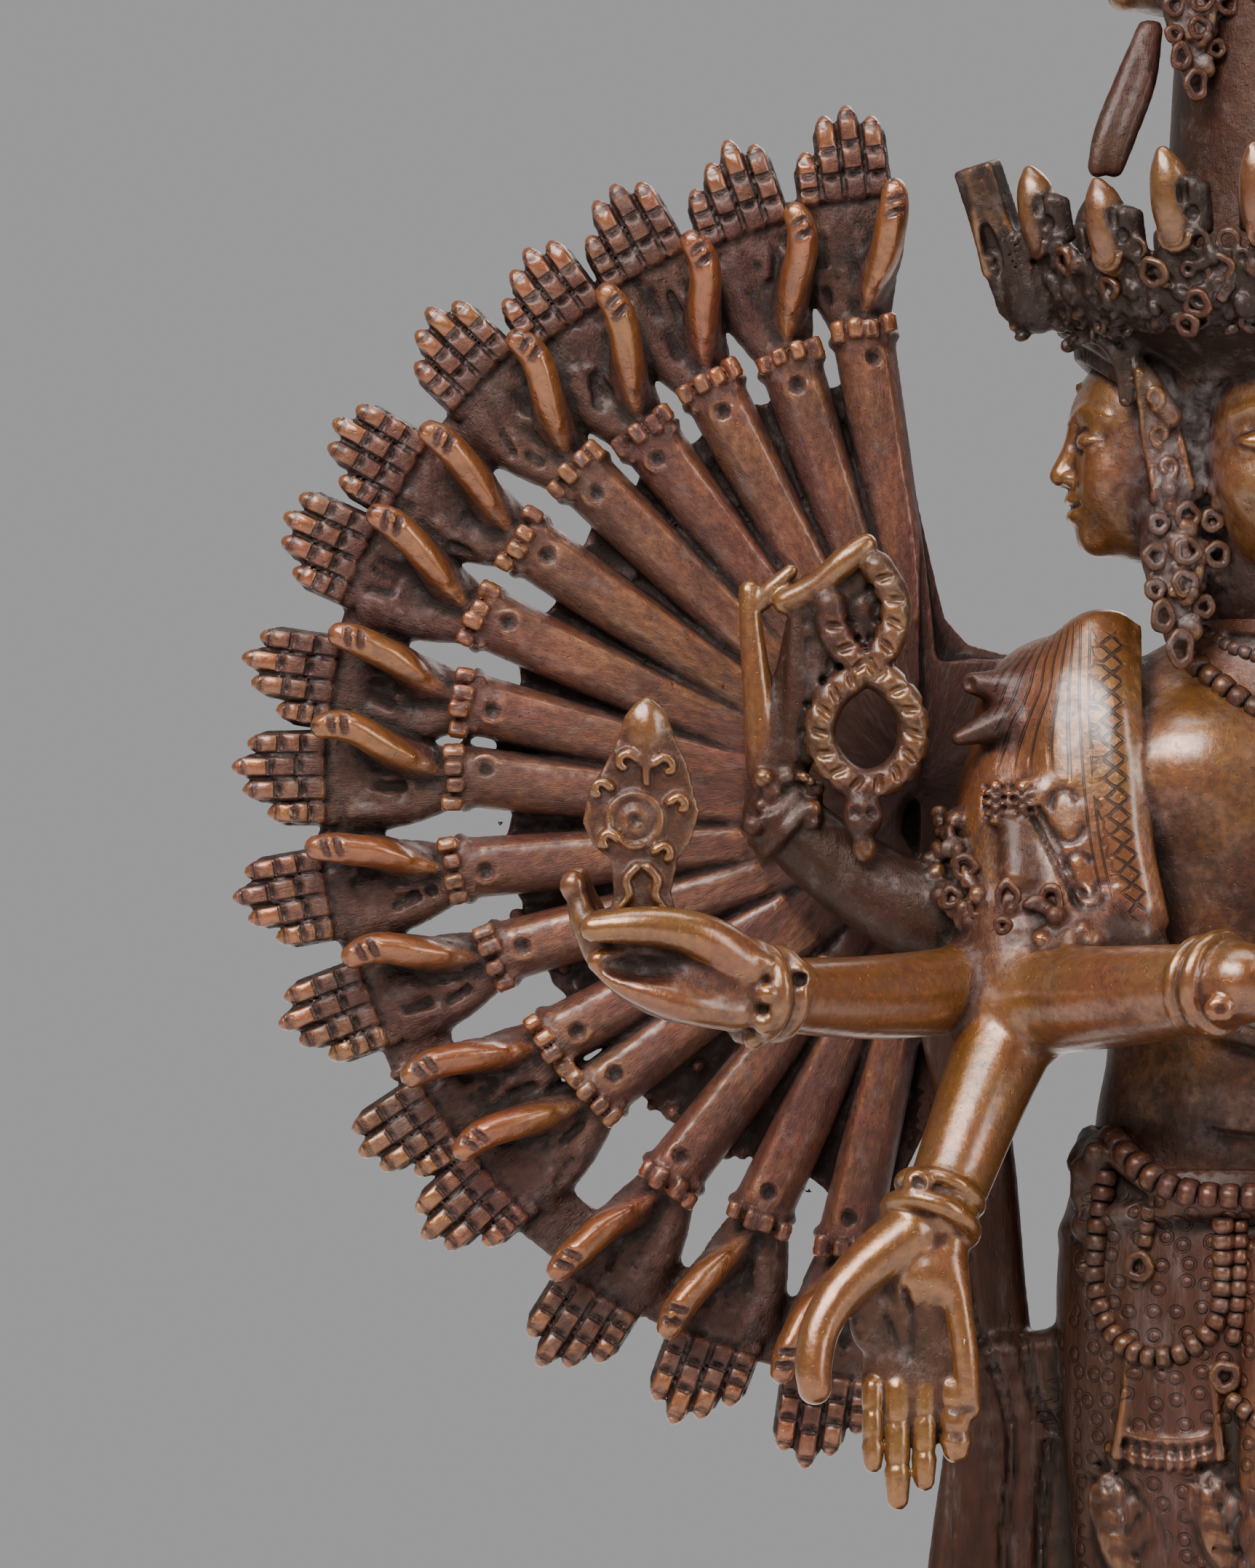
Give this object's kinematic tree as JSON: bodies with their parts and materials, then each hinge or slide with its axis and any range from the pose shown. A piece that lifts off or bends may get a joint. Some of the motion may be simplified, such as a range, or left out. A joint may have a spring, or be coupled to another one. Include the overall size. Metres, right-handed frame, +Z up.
{
  "type": "avalokiteshvara statue",
  "caption": "Standing many-armed bodhisattva in cast bronze, with a tower of crowned heads and a wheel of open hands, on an oval lotus pedestal.",
  "frame": {"origin": "centre of the lotus pedestal's underside, on the surface the statue stands on", "axes": "+Z up, -Y towards the viewer in front of the figure, +X to the viewer's right, which is the figure's left"},
  "size_m": [0.2089, 0.0878, 0.3594],
  "materials": {
    "rubbed_bronze": "cast copper alloy, golden brown where it is rubbed and dark in the recesses",
    "dark_bronze": "cast copper alloy with a dark red-brown patina, rubbed bright on the finger tips",
    "pedestal_bronze": "cast copper alloy with a brown patina"
  },
  "bodies": {
    "root": {"figure": "rubbed_bronze", "hand_wheel_right": "dark_bronze", "hand_wheel_left": "dark_bronze", "lotus_pedestal": "pedestal_bronze"}
  },
  "joints": []
}
